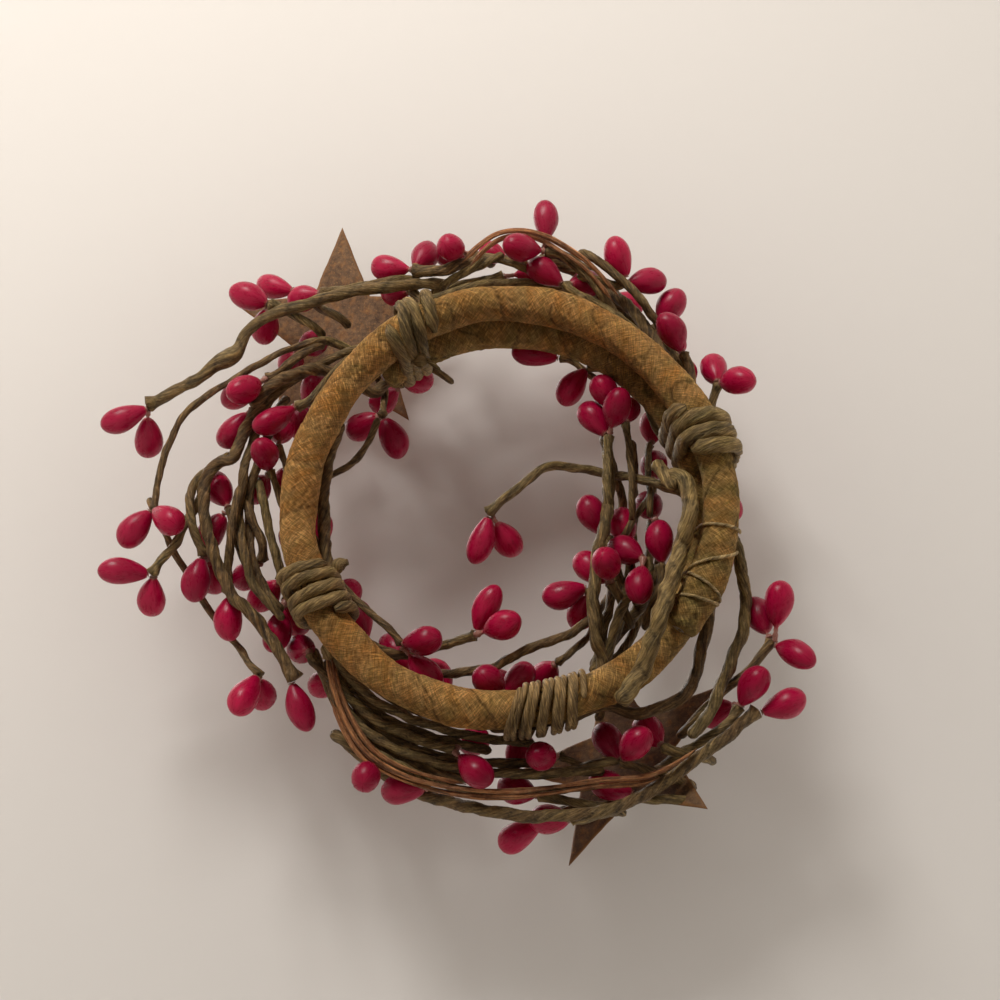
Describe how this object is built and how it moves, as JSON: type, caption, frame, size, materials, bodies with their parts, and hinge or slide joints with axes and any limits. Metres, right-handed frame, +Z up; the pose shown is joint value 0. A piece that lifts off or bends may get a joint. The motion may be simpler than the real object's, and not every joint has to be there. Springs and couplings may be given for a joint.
{
  "type": "candle ring",
  "caption": "Ring of paper-wrapped rope with wired berry sprays and tin stars that lies round the foot of a pillar candle.",
  "frame": {"origin": "on the surface that the ring lies on, at the centre of the candle opening", "axes": "+Z up along the candle, +X towards the side where the hoop's two strands are tied together, +Y towards the ring's lower edge in the picture"},
  "size_m": [0.1676, 0.167, 0.0504],
  "materials": {
    "hoop_paper": "orange-tan crepe paper wound on a rope, matt",
    "core_wire": "plain drawn wire",
    "berry_red": "dipped crimson, semi-gloss",
    "brown_wrap": "brown twisted paper, matt",
    "olive_wrap": "olive-brown paper tape over wire, matt",
    "tie_cord": "twisted paper cord, matt",
    "fine_string": "thin tan string",
    "raffia": "copper-brown raffia, satin",
    "rusty_tin": "rusted sheet tin, matt"
  },
  "bodies": {
    "root": {"base_hoop": "hoop_paper", "bottom_berries": "berry_red", "bottom_crown_berries": "berry_red", "bottom_crown_twigs": "olive_wrap", "bottom_inner_berries": "berry_red", "bottom_inner_twigs": "olive_wrap", "bottom_right_berries": "berry_red", "bottom_right_twigs": "olive_wrap", "bottom_tie": "tie_cord", "bottom_twigs": "olive_wrap", "centre_twig_berries": "berry_red", "centre_twig_twigs": "olive_wrap", "far_left_berries": "berry_red", "far_left_twigs": "olive_wrap", "far_right_berries": "berry_red", "far_right_twigs": "olive_wrap", "hoop_wire": "core_wire", "inner_right_berries": "berry_red", "inner_right_twigs": "olive_wrap", "inner_upper_right_berries": "berry_red", "inner_upper_right_twigs": "olive_wrap", "left_crown_berries": "berry_red", "left_crown_twigs": "olive_wrap", "left_inner_berries": "berry_red", "left_inner_twigs": "olive_wrap", "left_outer_berries": "berry_red", "left_outer_twigs": "olive_wrap", "left_shoulder_berries": "berry_red", "left_shoulder_twigs": "olive_wrap", "left_tie": "tie_cord", "lower_bundle_berries": "berry_red", "lower_bundle_twigs": "olive_wrap", "lower_centre_berries": "berry_red", "lower_centre_twigs": "olive_wrap", "lower_raffia": "raffia", "lower_star": "rusty_tin", "right_bundle_twigs": "olive_wrap", "right_crown_berries": "berry_red", "right_crown_twigs": "olive_wrap", "right_tie": "tie_cord", "short_cord": "brown_wrap", "string": "fine_string", "top_berries": "berry_red", "top_bundle_twigs": "olive_wrap", "top_crown_berries": "berry_red", "top_crown_twigs": "olive_wrap", "top_left_inner_berries": "berry_red", "top_left_inner_twigs": "olive_wrap", "top_left_tie": "tie_cord", "top_right_berries": "berry_red", "top_right_twigs": "olive_wrap", "top_twigs": "olive_wrap", "upper_left_berries": "berry_red", "upper_left_twigs": "olive_wrap", "upper_raffia": "raffia", "upper_star": "rusty_tin", "wrap_twig": "brown_wrap"}
  },
  "joints": []
}
